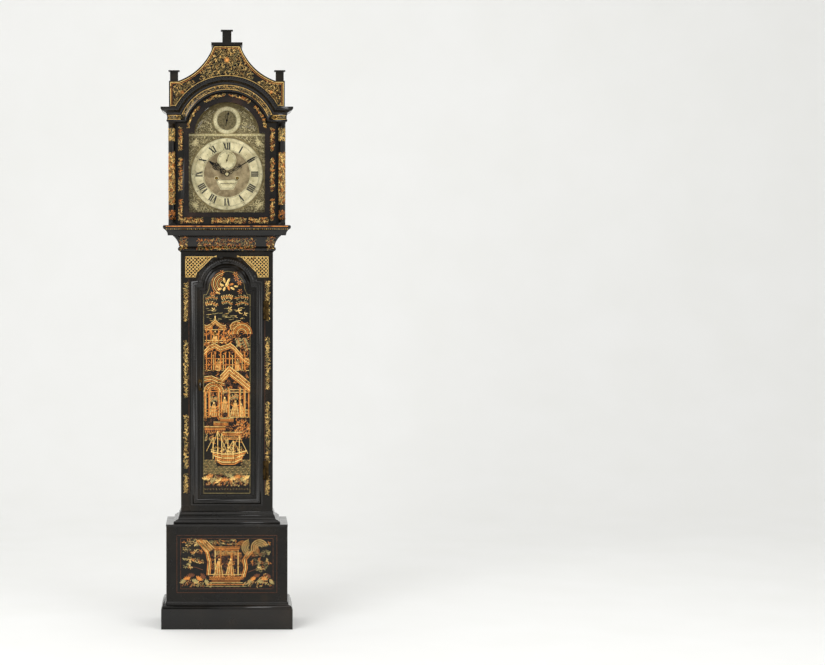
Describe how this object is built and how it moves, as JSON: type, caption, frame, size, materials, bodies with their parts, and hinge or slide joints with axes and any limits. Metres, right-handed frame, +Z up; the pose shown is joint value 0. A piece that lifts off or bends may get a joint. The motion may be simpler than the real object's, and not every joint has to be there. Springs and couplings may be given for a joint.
{
  "type": "longcase clock",
  "caption": "Tall longcase clock in black and gilt japanned wood, with an arched brass dial, glazed hood door, arched trunk door, pendulum and weights.",
  "frame": {"origin": "on the floor, midway across the width and midway from the skirting's front to the backboard's rear face", "axes": "+Z up, +Y to the back, so the dial faces -Y, +X to the right as seen from the front"},
  "size_m": [0.515, 0.265, 2.339],
  "materials": {
    "black_japan": "black japanned oak with gilt decoration, glossy varnish",
    "bare_oak": "bare aged oak",
    "brass": "lacquered brass",
    "silvered_brass": "silvered brass, aged varnish",
    "blued_steel": "blued steel",
    "steel": "grey steel",
    "bell_metal": "turned bell metal",
    "window_glass": "clear glass",
    "gilding": "raised gilt gesso, worn",
    "gut": "twisted gut"
  },
  "bodies": {
    "case": {"backboard": "bare_oak", "base_sides": "black_japan", "base_front_panel": "black_japan", "base_floor": "bare_oak", "skirting": "black_japan", "base_cap_moulding": "black_japan", "trunk_sides": "black_japan", "trunk_front_frame": "black_japan", "throat_moulding": "black_japan", "trunk_hinge_case_leaves": "brass", "dial_plate": "brass", "chapter_ring": "silvered_brass", "small_dial_rings": "silvered_brass", "dial_spandrels": "brass", "seatboard": "bare_oak", "movement_plates": "brass", "back_cock": "brass", "bell": "bell_metal", "gut_line_going": "gut", "gut_line_strike": "gut"},
    "trunk_door": {"trunk_door_panel": "black_japan", "trunk_door_lip": "black_japan", "trunk_hinge_door_leaves": "brass", "escutcheon": "brass", "lock_case": "steel"},
    "lock_bolt": {"lock_bolt": "steel"},
    "trunk_key": {"trunk_key": "steel"},
    "hood": {"hood_base_moulding": "black_japan", "hood_sides": "black_japan", "dial_mask": "black_japan", "hood_top_board": "bare_oak", "hood_cornice": "black_japan", "pagoda_front": "black_japan", "pagoda_roof": "black_japan", "finial_blocks": "black_japan", "hood_columns": "black_japan", "column_caps_and_bases": "black_japan"},
    "hood_door": {"hood_door_frame": "black_japan", "hood_door_bead": "black_japan", "hood_door_glass": "window_glass", "hood_door_pivots": "brass"},
    "minute": {"centre_wheel": "brass", "minute_hand": "blued_steel"},
    "hour": {"hour_wheel": "brass", "hour_hand": "blued_steel"},
    "third": {"third_wheel": "brass"},
    "escape": {"escape_wheel": "brass", "seconds_hand": "blued_steel"},
    "going_barrel": {"going_barrel": "brass"},
    "strike_barrel": {"strike_barrel": "brass"},
    "hammer": {"bell_hammer": "steel"},
    "anchor": {"pallet_anchor": "steel"},
    "pendulum": {"pendulum_rod": "steel", "pendulum_bob": "brass"},
    "rating_nut": {"rating_nut": "brass"},
    "strike_silent": {"strike_silent_hand": "blued_steel"},
    "weight_going": {"weight_going": "brass"},
    "pulley_going": {"pulley_going": "brass"},
    "weight_strike": {"weight_strike": "brass"},
    "pulley_strike": {"pulley_strike": "brass"}
  },
  "joints": [
    {"name": "trunk_door_hinge", "type": "hinge", "parent": "case", "child": "trunk_door", "pos_m": [0.1473, -0.0615, 0.96], "axis": [0, 0, 1], "range_deg": [0, 110]},
    {"name": "key_turn", "type": "hinge", "parent": "trunk_door", "child": "trunk_key", "pos_m": [-0.1045, -0.06, 0.957], "axis": [0, 1, 0], "range_deg": [-90, 0]},
    {"name": "lock_bolt_slide", "type": "slide", "parent": "trunk_door", "child": "lock_bolt", "axis": [-1, 0, 0], "range_m": [0, 0.009]},
    {"name": "hood_slide", "type": "slide", "parent": "case", "child": "hood", "axis": [0, -1, 0], "range_m": [0, 0.3]},
    {"name": "hood_door_hinge", "type": "hinge", "parent": "hood", "child": "hood_door", "pos_m": [0.185, -0.095, 1.78], "axis": [0, 0, 1], "range_deg": [0, 100]},
    {"name": "minute_turn", "type": "hinge", "parent": "case", "child": "minute", "pos_m": [0, -0.06, 1.781], "axis": [0, 1, 0], "continuous": true},
    {"name": "hour_turn", "type": "hinge", "parent": "case", "child": "hour", "pos_m": [0, -0.06, 1.781], "axis": [0, 1, 0], "continuous": true},
    {"name": "third_turn", "type": "hinge", "parent": "case", "child": "third", "pos_m": [0.00699, 0.01, 1.81079], "axis": [0, 1, 0], "continuous": true},
    {"name": "escape_turn", "type": "hinge", "parent": "case", "child": "escape", "pos_m": [0, 0.01, 1.835], "axis": [0, 1, 0], "continuous": true},
    {"name": "going_barrel_turn", "type": "hinge", "parent": "case", "child": "going_barrel", "pos_m": [0.0405, 0.01, 1.765], "axis": [0, 1, 0], "continuous": true},
    {"name": "strike_barrel_turn", "type": "hinge", "parent": "case", "child": "strike_barrel", "pos_m": [-0.0405, 0.01, 1.765], "axis": [0, 1, 0], "continuous": true},
    {"name": "hammer_swing", "type": "hinge", "parent": "case", "child": "hammer", "pos_m": [-0.058, 0.01, 1.85], "axis": [0, 1, 0], "range_deg": [-8, 0], "stiffness_Nm_per_rad": 0.2},
    {"name": "pendulum_swing", "type": "hinge", "parent": "case", "child": "pendulum", "pos_m": [0, 0.07, 1.863], "axis": [0, 1, 0], "range_deg": [-3, 3]},
    {"name": "anchor_rock", "type": "hinge", "parent": "case", "child": "anchor", "pos_m": [0, 0.03, 1.863], "axis": [0, 1, 0], "range_deg": [-3, 3]},
    {"name": "rating_nut_turn", "type": "hinge", "parent": "pendulum", "child": "rating_nut", "pos_m": [0, 0.07, 0.784], "axis": [0, 0, 1], "continuous": true},
    {"name": "strike_silent_turn", "type": "hinge", "parent": "case", "child": "strike_silent", "pos_m": [0, -0.06, 1.9904], "axis": [0, 1, 0], "range_deg": [-60, 60]},
    {"name": "weight_going_wind", "type": "slide", "parent": "case", "child": "weight_going", "axis": [0, 0, 1], "range_m": [0, 0.9], "deforming": ["gut_line_going"]},
    {"name": "pulley_going_turn", "type": "hinge", "parent": "weight_going", "child": "pulley_going", "pos_m": [0.0421, 0.0115, 0.647], "axis": [0, 1, 0], "continuous": true},
    {"name": "weight_strike_wind", "type": "slide", "parent": "case", "child": "weight_strike", "axis": [0, 0, 1], "range_m": [0, 0.9], "deforming": ["gut_line_strike"]},
    {"name": "pulley_strike_turn", "type": "hinge", "parent": "weight_strike", "child": "pulley_strike", "pos_m": [-0.0421, 0.0115, 0.647], "axis": [0, 1, 0], "continuous": true}
  ],
  "couplings": [
    {"joint": "hour_turn", "follows": "minute_turn", "ratio": 0.083333},
    {"joint": "third_turn", "follows": "minute_turn", "ratio": -7.5},
    {"joint": "escape_turn", "follows": "minute_turn", "ratio": 60},
    {"joint": "going_barrel_turn", "follows": "minute_turn", "ratio": -0.083333},
    {"joint": "anchor_rock", "follows": "pendulum_swing", "ratio": 1},
    {"joint": "key_turn", "follows": "lock_bolt_slide", "rad_per_m": -174.53},
    {"joint": "pulley_going_turn", "follows": "weight_going_wind", "rad_per_m": 42.735},
    {"joint": "pulley_strike_turn", "follows": "weight_strike_wind", "rad_per_m": -42.735}
  ]
}
